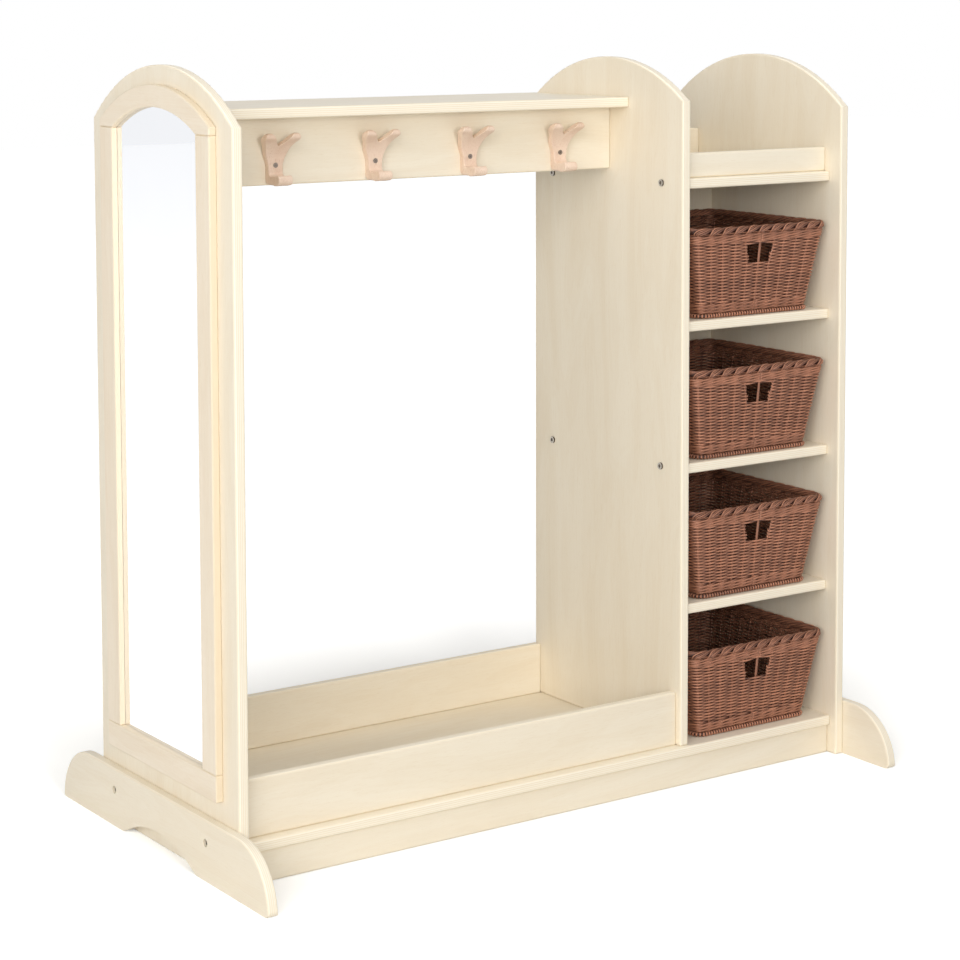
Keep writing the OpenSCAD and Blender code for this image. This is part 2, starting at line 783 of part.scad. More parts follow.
module basket_rim() {
    corner = basket_corner_r + 4;
    color(wicker) translate([0, 0, wall_top + rim_flat])
        bead(rim_w - 2*rim_r, rim_d - 2*rim_r, corner) intersection() {
            circle(rim_r);
            translate([-rim_r, -rim_flat]) square([2*rim_r, 2*rim_r + rim_flat]);
        }
}

module basket_base() {
    color(wicker) {
        translate([0, 0, border_r]) bead(foot_w - 1, foot_d - 1, basket_corner_r) circle(border_r);
        translate([-foot_w/2, -foot_d/2, 0.5]) linear_extrude(2*border_r - 0.5)
            rounded_rect(foot_w, foot_d, basket_corner_r);
    }
}

module seat_basket(k) {
    translate([basket_x, rim_y, seat(k) + basket_lift]) children();
}
module basket_walls_1() { seat_basket(1) basket_walls(); }
module basket_walls_2() { seat_basket(2) basket_walls(); }
module basket_walls_3() { seat_basket(3) basket_walls(); }
module basket_walls_4() { seat_basket(4) basket_walls(); }
module basket_rim_1() { seat_basket(1) basket_rim(); }
module basket_rim_2() { seat_basket(2) basket_rim(); }
module basket_rim_3() { seat_basket(3) basket_rim(); }
module basket_rim_4() { seat_basket(4) basket_rim(); }
module basket_base_1() { seat_basket(1) basket_base(); }
module basket_base_2() { seat_basket(2) basket_base(); }
module basket_base_3() { seat_basket(3) basket_base(); }
module basket_base_4() { seat_basket(4) basket_base(); }

left_end_panel();
right_end_panel();
mid_panel();
left_foot();
right_foot();
base_shelf();
front_plinth();
back_plinth();
trough_front_board();
trough_back_board();
top_shelf();
hook_board();
mirror_frame_arch();
mirror_frame_back_stile();
mirror_frame_front_stile();
mirror_frame_rail();
mirror();
bay_shelf_1();
bay_shelf_2();
bay_shelf_3();
bay_shelf_4();
gallery_rail();
gallery_back();
bay_back_panel();
coat_hook_1();
coat_hook_2();
coat_hook_3();
coat_hook_4();
hook_screws();
foot_bolts();
shelf_bolts();
barrel_nuts();
wooden_dowels();
base_screws();
basket_walls_1();
basket_walls_2();
basket_walls_3();
basket_walls_4();
basket_rim_1();
basket_rim_2();
basket_rim_3();
basket_rim_4();
basket_base_1();
basket_base_2();
basket_base_3();
basket_base_4();
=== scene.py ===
import math

import bpy
import numpy as np
from mathutils import Matrix, Vector


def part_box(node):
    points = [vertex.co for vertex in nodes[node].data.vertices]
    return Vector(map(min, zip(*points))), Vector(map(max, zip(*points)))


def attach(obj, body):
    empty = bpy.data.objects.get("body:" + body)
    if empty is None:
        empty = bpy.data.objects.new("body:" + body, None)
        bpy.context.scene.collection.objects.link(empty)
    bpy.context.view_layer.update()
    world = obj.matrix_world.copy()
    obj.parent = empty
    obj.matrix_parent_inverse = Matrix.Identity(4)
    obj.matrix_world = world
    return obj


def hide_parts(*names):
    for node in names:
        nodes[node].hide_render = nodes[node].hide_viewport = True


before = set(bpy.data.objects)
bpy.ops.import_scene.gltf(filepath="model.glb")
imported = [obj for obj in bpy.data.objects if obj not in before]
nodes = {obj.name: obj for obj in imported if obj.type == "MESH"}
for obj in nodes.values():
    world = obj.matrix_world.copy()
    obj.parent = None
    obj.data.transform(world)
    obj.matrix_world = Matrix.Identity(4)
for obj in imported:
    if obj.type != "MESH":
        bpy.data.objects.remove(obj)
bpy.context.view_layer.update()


# ---- The studio: a seamless white floor, a white room and soft lamps ----
# The floor is matt white card, and takes the unit's shadow. The camera and anything shiny see
# the room as plain white, and the card glows for them, a little at the unit and more further
# off, so that it runs into the white with no line.

def linear(code):
    """An sRGB hex colour as linear RGBA."""
    parts = [int(code[i:i + 2], 16) / 255 for i in (1, 3, 5)]
    return (*[c / 12.92 if c <= 0.04045 else ((c + 0.055) / 1.055) ** 2.4 for c in parts], 1.0)


def add(tree, kind, settings={}, inputs={}):
    """Adds a shader node with its settings, and its inputs: values or other nodes' outputs."""
    node = tree.nodes.new("ShaderNode" + kind)
    for name, value in settings.items():
        setattr(node, name, value)
    for name, value in inputs.items():
        if isinstance(value, bpy.types.NodeSocket):
            tree.links.new(value, node.inputs[name])
        else:
            node.inputs[name].default_value = value
    return node


def empty_material(name):
    """A new material with no nodes in its tree, and that tree."""
    material = bpy.data.materials.new(name)
    material.use_nodes = True
    material.node_tree.nodes.clear()
    return material, material.node_tree


def seen_directly(tree):
    """1 to the camera and to rays off shiny or through clear things, and 0 to the other rays."""
    rays = add(tree, "LightPath")
    seen = add(tree, "Math", {"operation": "MAXIMUM"},
               {0: rays.outputs["Is Camera Ray"], 1: rays.outputs["Is Glossy Ray"]})
    return add(tree, "Math", {"operation": "MAXIMUM"},
               {0: seen.outputs[0], 1: rays.outputs["Is Transmission Ray"]})


floor_size = 30.0
floor_drop = 0.0004
# the glow at the unit, round it and far off, and how far from its middle each change runs
glow_under, glow_round, glow_far = 0.12, 0.52, 0.34
near_start, near_end = 0.5, 1.0
far_start, far_end = 1.6, 7.0
card, tree = empty_material("matt_white_card")
seen = seen_directly(tree)
spot = add(tree, "TexCoord")
away = add(tree, "VectorMath", {"operation": "LENGTH"}, {0: spot.outputs["Object"]})
level = add(tree, "MapRange", {}, {"Value": away.outputs["Value"], "From Min": near_start,
                                   "From Max": near_end, "To Min": glow_under,
                                   "To Max": glow_round})
more = add(tree, "MapRange", {}, {"Value": away.outputs["Value"], "From Min": far_start,
                                  "From Max": far_end, "To Min": 0.0, "To Max": glow_far})
level = add(tree, "Math", {"operation": "ADD"}, {0: level.outputs[0], 1: more.outputs[0]})
lift = add(tree, "Math", {"operation": "MULTIPLY"}, {0: seen.outputs[0], 1: level.outputs[0]})
matt = add(tree, "BsdfDiffuse", {}, {"Color": linear("#f3f3f2"), "Roughness": 1.0})
glow = add(tree, "Emission", {}, {"Color": linear("#ffffff"), "Strength": lift.outputs[0]})
both = add(tree, "AddShader", {}, {0: matt.outputs[0], 1: glow.outputs[0]})
add(tree, "OutputMaterial", {}, {"Surface": both.outputs[0]})

half = floor_size / 2
floor_mesh = bpy.data.meshes.new("studio_floor")
floor_mesh.from_pydata([(-half, -half, 0), (half, -half, 0), (half, half, 0), (-half, half, 0)],
                       [], [(0, 1, 2, 3)])
floor_mesh.materials.append(card)
floor = bpy.data.objects.new("studio_floor", floor_mesh)
floor.location.z = -floor_drop
bpy.context.scene.collection.objects.link(floor)

room_light = 0.19
room = bpy.data.worlds.new("white_room")
bpy.context.scene.world = room
room.use_nodes = True
tree = room.node_tree
tree.nodes.clear()
seen = seen_directly(tree)
level = add(tree, "MapRange", {}, {"Value": seen.outputs[0], "To Min": room_light, "To Max": 1.0})
sky = add(tree, "Background", {}, {"Color": linear("#ffffff"), "Strength": level.outputs[0]})
add(tree, "OutputWorld", {}, {"Surface": sky.outputs[0]})


def soft_box(name, place, aim, size, watts, colour):
    """A square lamp at place that shines at aim."""
    data = bpy.data.lights.new(name, "AREA")
    data.shape, data.size, data.energy = "SQUARE", size, watts
    data.color = linear(colour)[:3]
    lamp = bpy.data.objects.new(name, data)
    lamp.location = place
    lamp.rotation_euler = (Vector(aim) - Vector(place)).to_track_quat("-Z", "Y").to_euler()
    bpy.context.scene.collection.objects.link(lamp)


# a small lamp almost in front gives the shadows, and a large one at the left fills them
middle = (0, 0, 0.5)
soft_box("key_soft_box", (-1.15, -3.85, 1.40), middle, 0.9, 41, "#fffdf9")
soft_box("fill_soft_box", (-4.3, -3.7, 2.2), middle, 3.6, 172, "#fffdf9")
soft_box("side_soft_box", (-4.2, -0.2, 1.6), middle, 2.4, 28, "#ffffff")
soft_box("top_soft_box", (0.3, -1.2, 4.2), middle, 3.0, 54, "#ffffff")

# The camera stands to the left of the unit and looks almost level at its upper part. The picture
# is shifted down from there, which keeps the uprights parallel.
azimuth, elevation, roll = (math.radians(d) for d in (-34.481, 4.666, -0.146))
aim = Vector((0.00625, 0.020, 0.85578))
distance = 3.6111
back = Vector((math.sin(azimuth) * math.cos(elevation), -math.cos(azimuth) * math.cos(elevation),
               math.sin(elevation)))
right = Vector((math.cos(azimuth), math.sin(azimuth), 0))
up = back.cross(right)
across = right * math.cos(roll) + up * math.sin(roll)
upward = up * math.cos(roll) - right * math.sin(roll)
camera_data = bpy.data.cameras.new("camera")
camera_data.lens, camera_data.sensor_width = 92.83, 36.0
camera_data.shift_x, camera_data.shift_y = -0.0009, -0.2883
camera_data.clip_end = 60
camera = bpy.data.objects.new("camera", camera_data)
camera.matrix_world = (Matrix.Translation(aim + back * distance)
                       @ Matrix((across, upward, back)).transposed().to_4x4())
bpy.context.scene.collection.objects.link(camera)
bpy.context.scene.camera = camera
bpy.context.scene.view_settings.view_transform = "Standard"


# ---- End panels and partition ----
# Fifteen millimetre birch plywood, sawn to an arched top, its edges eased and the whole
# lacquered satin. The faces are one rotary cut veneer with upright grain.

ply_pitch = 0.015 / 11
veneer_face, veneer_streak, veneer_vein = "#f3ead8", "#ebdec7", "#dccaab"
ply_light, ply_dark = "#faf2e1", "#ead9ba"


def lacquered_birch(name, along, through, lowest, seed, ply=ply_pitch,
                    face=veneer_face, streak=veneer_streak, vein=veneer_vein,
                    light=ply_light, dark=ply_dark):
    """Birch under satin lacquer: a pale, quiet grain along one axis, and plies through another."""
    material, tree = empty_material(name)
    spot = add(tree, "TexCoord")
    axes = add(tree, "SeparateXYZ", {}, {0: spot.outputs["Object"]})
    wide = ({"X", "Y", "Z"} - {along, through}).pop()
    board = add(tree, "CombineXYZ", {}, {"X": axes.outputs[along], "Y": axes.outputs[wide],
                                         "Z": axes.outputs[through]})
    shifted = add(tree, "VectorMath", {"operation": "ADD"},
                  {0: board.outputs[0], 1: (seed * 0.37, seed * 0.53, seed * 0.21)})
    # clouds about 60 mm wide and 400 mm long, as rotary cut veneer has
    cloud_place = add(tree, "Mapping", {}, {"Vector": shifted.outputs[0], "Scale": (2.4, 15, 15)})
    cloud = add(tree, "TexNoise", {}, {"Vector": cloud_place.outputs[0], "Scale": 1.0,
                                       "Detail": 3.0, "Roughness": 0.5, "Distortion": 1.4})
    # a flame figure: the cloud's own contours, a few millimetres apart where it is steep
    contour = add(tree, "Math", {"operation": "MULTIPLY"}, {0: cloud.outputs[0], 1: 62.0})
    flame = add(tree, "Math", {"operation": "SINE"}, {0: contour.outputs[0]})
    # fibres 1.8 mm wide, as coarse as they need to be to show
    fibre_place = add(tree, "Mapping", {}, {"Vector": shifted.outputs[0], "Scale": (14, 550, 550)})
    fibre = add(tree, "TexNoise", {}, {"Vector": fibre_place.outputs[0], "Scale": 1.0,
                                       "Detail": 3.0, "Roughness": 0.6})
    # short open pores, 0.8 mm wide and 12 mm long
    pore_place = add(tree, "Mapping", {}, {"Vector": shifted.outputs[0],
                                           "Scale": (85, 1250, 1250)})
    pore = add(tree, "TexNoise", {}, {"Vector": pore_place.outputs[0], "Scale": 1.0,
                                      "Detail": 1.0, "Roughness": 0.5})
    pore_mask = add(tree, "MapRange", {}, {"Value": pore.outputs[0], "From Min": 0.63,
                                           "From Max": 0.73, "To Min": 0.0, "To Max": 0.25})
    grain = add(tree, "Math", {"operation": "MULTIPLY_ADD"},
                {0: flame.outputs[0], 1: 0.045, 2: cloud.outputs[0]})
    grain = add(tree, "Math", {"operation": "MULTIPLY_ADD"},
                {0: fibre.outputs[0], 1: 0.35, 2: grain.outputs[0]})
    grain = add(tree, "MapRange", {}, {"Value": grain.outputs[0], "From Min": 0.48,
                                       "From Max": 0.92, "To Min": 0.05, "To Max": 0.7})
    veneer = add(tree, "Mix", {"data_type": "RGBA"},
                 {0: grain.outputs[0], 6: linear(face), 7: linear(streak)})
    veneer = add(tree, "Mix", {"data_type": "RGBA"},
                 {0: pore_mask.outputs[0], 6: veneer.outputs[2], 7: linear(vein)})
    # the edge shows its plies by turns as long grain and as end grain
    depth = add(tree, "Math", {"operation": "SUBTRACT"}, {0: axes.outputs[through], 1: lowest})
    turns = add(tree, "Math", {"operation": "MULTIPLY"}, {0: depth.outputs[0], 1: math.pi / ply})
    band = add(tree, "Math", {"operation": "SINE"}, {0: turns.outputs[0]})
    rough_band = add(tree, "Math", {"operation": "MULTIPLY_ADD"},
                     {0: fibre.outputs[0], 1: 1.2, 2: band.outputs[0]})
    band_mask = add(tree, "MapRange", {}, {"Value": rough_band.outputs[0], "From Min": 0.1,
                                           "From Max": 1.1, "To Min": 0.0, "To Max": 0.5})
    edge = add(tree, "Mix", {"data_type": "RGBA"},
               {0: band_mask.outputs[0], 6: linear(light), 7: linear(dark)})
    facing = add(tree, "SeparateXYZ", {}, {0: spot.outputs["Normal"]})
    flatness = add(tree, "Math", {"operation": "ABSOLUTE"}, {0: facing.outputs[through]})
    on_face = add(tree, "MapRange", {}, {"Value": flatness.outputs[0], "From Min": 0.80,
                                         "From Max": 0.96})
    colour = add(tree, "Mix", {"data_type": "RGBA"},
                 {0: on_face.outputs[0], 6: edge.outputs[2], 7: veneer.outputs[2]})
    sheen = add(tree, "MapRange", {}, {"Value": fibre.outputs[0], "From Min": 0.3,
                                       "From Max": 0.7, "To Min": 0.36, "To Max": 0.5})
    relief = add(tree, "Math", {"operation": "SUBTRACT"},
                 {0: fibre.outputs[0], 1: pore_mask.outputs[0]})
    bump = add(tree, "Bump", {}, {"Strength": 0.15, "Distance": 0.0003,
                                  "Height": relief.outputs[0]})
    skin = add(tree, "BsdfPrincipled", {},
               {"Base Color": colour.outputs[2], "Roughness": sheen.outputs[0], "IOR": 1.5,
                "Specular IOR Level": 0.3, "Normal": bump.outputs[0]})
    add(tree, "OutputMaterial", {}, {"Surface": skin.outputs[0]})
    return material


def dress(name, material):
    """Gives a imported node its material."""
    for slot in nodes[name].material_slots:
        slot.material = material


def dress_board(name, along, through, seed, **look):
    """Gives a packed board its own birch, with the grain and the plies the way it was cut."""
    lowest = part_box(name)[0]["XYZ".index(through)]
    dress(name, lacquered_birch(name + "_birch", along, through, lowest, seed, **look))


dress_board("left_end_panel", "Z", "X", 1)
dress_board("right_end_panel", "Z", "X", 2)
dress_board("mid_panel", "Z", "X", 3)


# ---- Feet ----
# A bracket foot is sawn from the same plywood, with quarter-round ends and a shallow arch
# under it. Its grain runs from front to back, and two bolts hold it to the end panel.

dress_board("left_foot", "Y", "X", 4)
dress_board("right_foot", "Y", "X", 5)


# ---- Base, plinth and trough ----
# The base shelf lies on two plinth boards, and two upright boards make the trough.
# All are the same plywood, with the grain along the unit.

dress_board("base_shelf", "X", "Z", 6)
dress_board("front_plinth", "X", "Y", 7)
dress_board("back_plinth", "X", "Y", 8)
dress_board("trough_front_board", "X", "Y", 9)
dress_board("trough_back_board", "X", "Y", 10)


# ---- Top shelf and hook board ----
# The shelf lies on the hook board. Both are dowelled between the left panel and the partition.

dress_board("top_shelf", "X", "Z", 11)
dress_board("hook_board", "X", "Y", 12)


# ---- Boards of the basket column ----
# Four shelves, a low rail and a back board of plywood, and four thin plywood panels at the
# back, between the shelves.

for number in range(1, 5):
    dress_board(f"bay_shelf_{number}", "X", "Z", 12 + number)
dress_board("gallery_rail", "X", "Y", 17)
dress_board("gallery_back", "X", "Y", 18)
thin_ply_pitch = 0.0012
dress_board("bay_back_panel", "Z", "Y", 19, ply=thin_ply_pitch)


# ---- Mirror ----
# Float glass silvered on its back, held in a rebate. It is clean, with the faintest film of
# dust, so it shows the white room.

silvered, tree = empty_material("silvered_glass")
spot = add(tree, "TexCoord")
film = add(tree, "TexNoise", {}, {"Vector": spot.outputs["Object"], "Scale": 9.0, "Detail": 4.0})
haze = add(tree, "MapRange", {}, {"Value": film.outputs[0], "From Min": 0.3, "From Max": 0.8,
                                  "To Min": 0.012, "To Max": 0.04})
tint = add(tree, "Mix", {"data_type": "RGBA"},
           {0: film.outputs[0], 6: linear("#f4f5f8"), 7: linear("#eff1f5")})
skin = add(tree, "BsdfPrincipled", {}, {"Base Color": tint.outputs[2], "Metallic": 1.0,
                                        "Roughness": haze.outputs[0]})
add(tree, "OutputMaterial", {}, {"Surface": skin.outputs[0]})
dress("mirror", silvered)


# ---- Mirror frame ----
# Four pieces of solid birch, rebated for the glass and glued to the panel. Solid wood has no
# plies, so its edges have the colour of its face. The arched piece has its grain across.

no_plies = 0.4
solid = {"ply": no_plies, "face": "#f3e7d4", "streak": "#e9d8bf", "vein": "#dcc3a4",
         "light": "#eadcc4", "dark": "#e2d0b4"}
dress_board("mirror_frame_arch", "Y", "X", 21, **solid)
dress_board("mirror_frame_back_stile", "Z", "X", 22, **solid)
dress_board("mirror_frame_front_stile", "Z", "X", 23, **solid)
dress_board("mirror_frame_rail", "Y", "X", 24, **solid)


# ---- Coat hooks ----
# Each hook is sawn from one block of beech, with the prongs swept forward, sanded round and
# oiled. Beech is pinkish and has short dark flecks along the grain.

beech, tree = empty_material("oiled_beech")
spot = add(tree, "TexCoord")
tone_place = add(tree, "Mapping", {}, {"Vector": spot.outputs["Object"], "Scale": (38, 38, 7)})
tone = add(tree, "TexNoise", {}, {"Vector": tone_place.outputs[0], "Scale": 1.0, "Detail": 4.0,
                                  "Distortion": 0.5})
# flecks 0.7 mm wide and 4 mm long
fleck_place = add(tree, "Mapping", {}, {"Vector": spot.outputs["Object"],
                                        "Scale": (1500, 1500, 240)})
fleck = add(tree, "TexNoise", {}, {"Vector": fleck_place.outputs[0], "Scale": 1.0, "Detail": 1.0})
fleck_mask = add(tree, "MapRange", {}, {"Value": fleck.outputs[0], "From Min": 0.56,
                                        "From Max": 0.68, "To Min": 0.0, "To Max": 0.5})
tone_mask = add(tree, "MapRange", {}, {"Value": tone.outputs[0], "From Min": 0.3,
                                       "From Max": 0.7})
colour = add(tree, "Mix", {"data_type": "RGBA"},
             {0: tone_mask.outputs[0], 6: linear("#efd9c6"), 7: linear("#e4c8b2")})
colour = add(tree, "Mix", {"data_type": "RGBA"},
             {0: fleck_mask.outputs[0], 6: colour.outputs[2], 7: linear("#cda58a")})
bump = add(tree, "Bump", {}, {"Strength": 0.2, "Distance": 0.0002, "Height": fleck.outputs[0]})
rough = add(tree, "MapRange", {}, {"Value": tone.outputs[0], "To Min": 0.42, "To Max": 0.56})
skin = add(tree, "BsdfPrincipled", {},
           {"Base Color": colour.outputs[2], "Roughness": rough.outputs[0], "IOR": 1.5,
            "Normal": bump.outputs[0]})
add(tree, "OutputMaterial", {}, {"Surface": skin.outputs[0]})


def eased(value, start, stop):
    """0 before start and 1 after stop, and smooth between them."""
    share = np.clip((value - start) / (stop - start), 0.0, 1.0)
    return share * share * (3 - 2 * share)


sanded_mesh_size = 0.0007
screw_above_foot, prong_top = 0.027, 0.045
# half widths of the sawn prongs, and where sanding brings them
sawn_width = (0.0, 0.010, 0.021, 0.035)
sanded_width = (0.0, 0.0080, 0.0140, 0.0273)
body_wider = 1.1
prong_forward = 0.008
lower_prong_top, lower_deeper = -0.013, 0.2


def sanded_hook(number):
    """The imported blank, sanded round, with its prongs drawn in and bent further forward, a
    slightly wider body, and a lower prong that is deeper at its end."""
    low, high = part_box(f"coat_hook_{number}")
    hook = bpy.data.objects.new(f"sanded_hook_{number}", nodes[f"coat_hook_{number}"].data.copy())
    bpy.context.scene.collection.objects.link(hook)
    fine_mesh = hook.modifiers.new("fine_mesh", "REMESH")
    fine_mesh.mode, fine_mesh.voxel_size = "VOXEL", sanded_mesh_size
    sanding = hook.modifiers.new("sanding", "SMOOTH")
    sanding.factor, sanding.iterations = 0.5, 3
    rounded = hook.evaluated_get(bpy.context.evaluated_depsgraph_get())
    sanded = bpy.data.meshes.new_from_object(rounded)
    hook.modifiers.clear()
    hook.data = sanded
    points = np.empty(len(sanded.vertices) * 3)
    sanded.vertices.foreach_get("co", points)
    points = points.reshape(-1, 3)
    # across, out from the board, and up from the screw
    across = points[:, 0] - (low[0] + high[0]) / 2
    out = high[1] - points[:, 1]
    up = points[:, 2] - (low[2] + screw_above_foot)
    drawn = np.sign(across) * np.interp(abs(across), sawn_width, sanded_width)
    share = eased(up, 0.004, 0.032)
    points[:, 0] += across * body_wider * (1 - share) + share * drawn - across
    points[:, 1] -= prong_forward * eased(up, 0.006, prong_top)
    lower_end = eased(out, 0.014, 0.036) * (up < 0)
    points[:, 2] -= lower_end * lower_deeper * np.clip(lower_prong_top - up, 0.0, None)
    sanded.vertices.foreach_set("co", points.ravel())
    sanded.polygons.foreach_set("use_smooth", [True] * len(sanded.polygons))
    sanded.materials.clear()
    sanded.materials.append(beech)
    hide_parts(f"coat_hook_{number}")
    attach(hook, "cabinet")


for number in range(1, 5):
    sanded_hook(number)


# ---- Screws, bolts and barrel nuts ----
# Zinc plated steel, turned and rolled. The plating gives a soft grey gloss with a faint cloud.
# The foot bolts and the hook screws are the same steel under a dark finish.

def plated_steel(name, bright, dull, axis, rough_low, rough_high, painted_side_shade="#3a342e"):
    """Steel under a thin plating, clouded at about 2 mm. The end of a head keeps the steel's
    colour, and its side and the walls of its socket are painted dark as shade."""
    material, tree = empty_material(name)
    spot = add(tree, "TexCoord")
    cloud = add(tree, "TexNoise", {}, {"Vector": spot.outputs["Object"], "Scale": 500.0,
                                       "Detail": 3.0})
    colour = add(tree, "Mix", {"data_type": "RGBA"},
                 {0: cloud.outputs[0], 6: linear(bright), 7: linear(dull)})
    facing = add(tree, "SeparateXYZ", {}, {0: spot.outputs["Normal"]})
    end_on = add(tree, "Math", {"operation": "ABSOLUTE"}, {0: facing.outputs[axis]})
    # faces across the axis, the head's side and its socket walls, get painted shade
    side_shade_mask = add(tree, "MapRange", {}, {"Value": end_on.outputs[0], "From Min": 0.85,
                                         "From Max": 0.98, "To Min": 1.0, "To Max": 0.0})
    colour = add(tree, "Mix", {"data_type": "RGBA"},
                 {0: side_shade_mask.outputs[0], 6: colour.outputs[2], 7: linear(painted_side_shade)})
    rough = add(tree, "MapRange", {}, {"Value": cloud.outputs[0], "To Min": rough_low,
                                       "To Max": rough_high})
    skin = add(tree, "BsdfPrincipled", {}, {"Base Color": colour.outputs[2], "Metallic": 1.0,
                                            "Roughness": rough.outputs[0]})
    add(tree, "OutputMaterial", {}, {"Surface": skin.outputs[0]})
    return material


bolt_steel = plated_steel("zinc_plated_bolt", "#cdc7bd", "#9c958a", "X", 0.32, 0.48,
                          painted_side_shade="#5c544b")
for name in ("shelf_bolts", "barrel_nuts"):
    dress(name, bolt_steel)
dress("foot_bolts", plated_steel("dark_plated_bolt", "#5f5850", "#3b3630", "X", 0.32, 0.48))
dress("base_screws", plated_steel("zinc_plated_screw", "#b9bbbd", "#8f9193", "Z", 0.26, 0.42))
screw_steel = plated_steel("dark_plated_screw", "#a0948a", "#75695f", "Y", 0.3, 0.45,
                           painted_side_shade="#5a5048")
dress("hook_screws", screw_steel)


# ---- Dowels ----
# Fluted beech dowels, glued in the boards' ends. They don't show once the unit is together.

dress("wooden_dowels", beech)


# ---- Baskets ----
# Each basket is woven on forty-three upright stakes of plastic cane. The walls are plain weave
# with one round weaver, between bands where three weavers twist. The stakes bend over into
# the border at the rim, and a cane is whipped round the edge of the base.

stake_count = 43
stake_wide, middle_stake_wide, stake_thick = 0.0042, 0.0048, 0.0016
weaver_pitch = 0.00235
weaver_thick = 0.0021
twist_wide = 0.0025
wall_thick = 0.005
# how far a weaver stands off the wall's middle over a stake, and how wide it is pressed there
wave_reach = 0.0018
weaver_wide, crown_wider = 0.00232, 0.0005
side_lean, front_lean = 0.024, 0.016
base_corner = 0.014
top_corner = base_corner * 1.18
# painted shades run from 0, painted dark where canes press together, to 1, a painted highlight on
# the crowns
core_painted_shade = -0.2
# the handle opening, down from the top of the wall, and its half width and flare
grip_bottom_down, grip_top_down = 0.046, 0.018
grip_narrow, grip_flare = 0.019, 0.006


def ring(half_x, half_y, corner, share):
    """Points of a rectangle with round corners, and their outward directions.
    The share runs once round it from the middle of the front, towards +X at the front."""
    long_x, long_y, turn = half_x - corner, half_y - corner, corner * math.pi / 2
    length = 4 * (long_x + long_y + turn)
    run = np.mod(share, 1.0) * length
    legs = [(long_x, "s"), (turn, "c"), (2 * long_y, "s"), (turn, "c"), (2 * long_x, "s"),
            (turn, "c"), (2 * long_y, "s"), (turn, "c"), (long_x, "s")]
    points = np.zeros((len(run), 2))
    facing = np.zeros((len(run), 2))
    begin, x, y, heading = 0.0, 0.0, -half_y, 0.0
    for size, kind in legs:
        here = (run >= begin - 1e-12) & (run <= begin + size + 1e-12)
        along = run[here] - begin
        ahead = np.array([math.cos(heading), math.sin(heading)])
        out = np.array([math.sin(heading), -math.cos(heading)])
        if kind == "s":
            points[here] = np.array([x, y]) + along[:, None] * ahead
            facing[here] = out
            x, y = x + size * ahead[0], y + size * ahead[1]
        else:
            centre = np.array([x, y]) - out * corner
            angle = along / corner
            turned = np.stack([out[0] * np.cos(angle) - out[1] * np.sin(angle),
                               out[0] * np.sin(angle) + out[1] * np.cos(angle)], 1)
            points[here] = centre + corner * turned
            facing[here] = turned
            heading += math.pi / 2
            out = np.array([math.sin(heading), -math.cos(heading)])
            x, y = centre + corner * out
        begin += size
    return points, facing


class Canes:
    """Collects the canes of one piece as oval tubes, and makes them one mesh."""

    def __init__(self):
        self.points, self.faces, self.shades, self.count = [], [], [], 0

    def lay(self, path, facing, wide, thick, shade, sides=6):
        """Adds a cane along path, its flat side towards facing."""
        path, facing = np.asarray(path, float), np.asarray(facing, float)
        ahead = np.gradient(path, axis=0)
        ahead /= np.linalg.norm(ahead, axis=1)[:, None] + 1e-12
        flat = facing - (facing * ahead).sum(1)[:, None] * ahead
        flat /= np.linalg.norm(flat, axis=1)[:, None] + 1e-12
        side = np.cross(ahead, flat)
        angle = np.arange(sides) * 2 * math.pi / sides
        wide = np.broadcast_to(np.asarray(wide, float), len(path))[:, None, None]
        thick = np.broadcast_to(np.asarray(thick, float), len(path))[:, None, None]
        rim = (path[:, None] + flat[:, None] * np.cos(angle)[None, :, None] * thick / 2
               + side[:, None] * np.sin(angle)[None, :, None] * wide / 2)
        rows, n = len(path), self.count
        step = np.arange(rows - 1)[:, None] * sides
        first = np.arange(sides)[None]
        after = (first + 1) % sides
        quads = np.stack([n + step + first, n + step + after, n + step + sides + after,
                          n + step + sides + first], -1).reshape(-1, 4)
        ends = [tuple(range(n + sides - 1, n - 1, -1)),
                tuple(range(n + (rows - 1) * sides, n + rows * sides))]
        self.points.append(rim.reshape(-1, 3))
        self.faces += quads.tolist() + ends
        self.shades.append(np.repeat(np.broadcast_to(np.asarray(shade, float), rows), sides))
        self.count += rows * sides

    def piece(self, name, place, material):
        """One object of all the canes, at its place, smooth, with each cane's tone and painted
        light.
        """
        mesh = bpy.data.meshes.new(name)
        mesh.from_pydata((np.concatenate(self.points) + np.array(place)).tolist(), [], self.faces)
        mesh.shade_smooth()
        shade = mesh.attributes.new("cane_tone_and_painted_light", "FLOAT", "POINT")
        shade.data.foreach_set("value", np.concatenate(self.shades))
        mesh.materials.append(material)
        piece = bpy.data.objects.new(name, mesh)
        bpy.context.scene.collection.objects.link(piece)
        return piece


cane, tree = empty_material("dyed_plastic_cane")
# extruded plastic cane, dyed through and a little uneven, with a soft gloss. Over the dye
# the colour carries painted light: a highlight on the crowns of the weave and shade where the canes
# press together.
spot = add(tree, "TexCoord")
cane_light_and_tone = add(tree, "Attribute", {"attribute_name": "cane_tone_and_painted_light"})
blotch_place = add(tree, "Mapping", {}, {"Vector": spot.outputs["Object"], "Scale": (70, 70, 160)})
blotch = add(tree, "TexNoise", {}, {"Vector": blotch_place.outputs[0], "Scale": 1.0,
                                    "Detail": 3.0, "Roughness": 0.6})
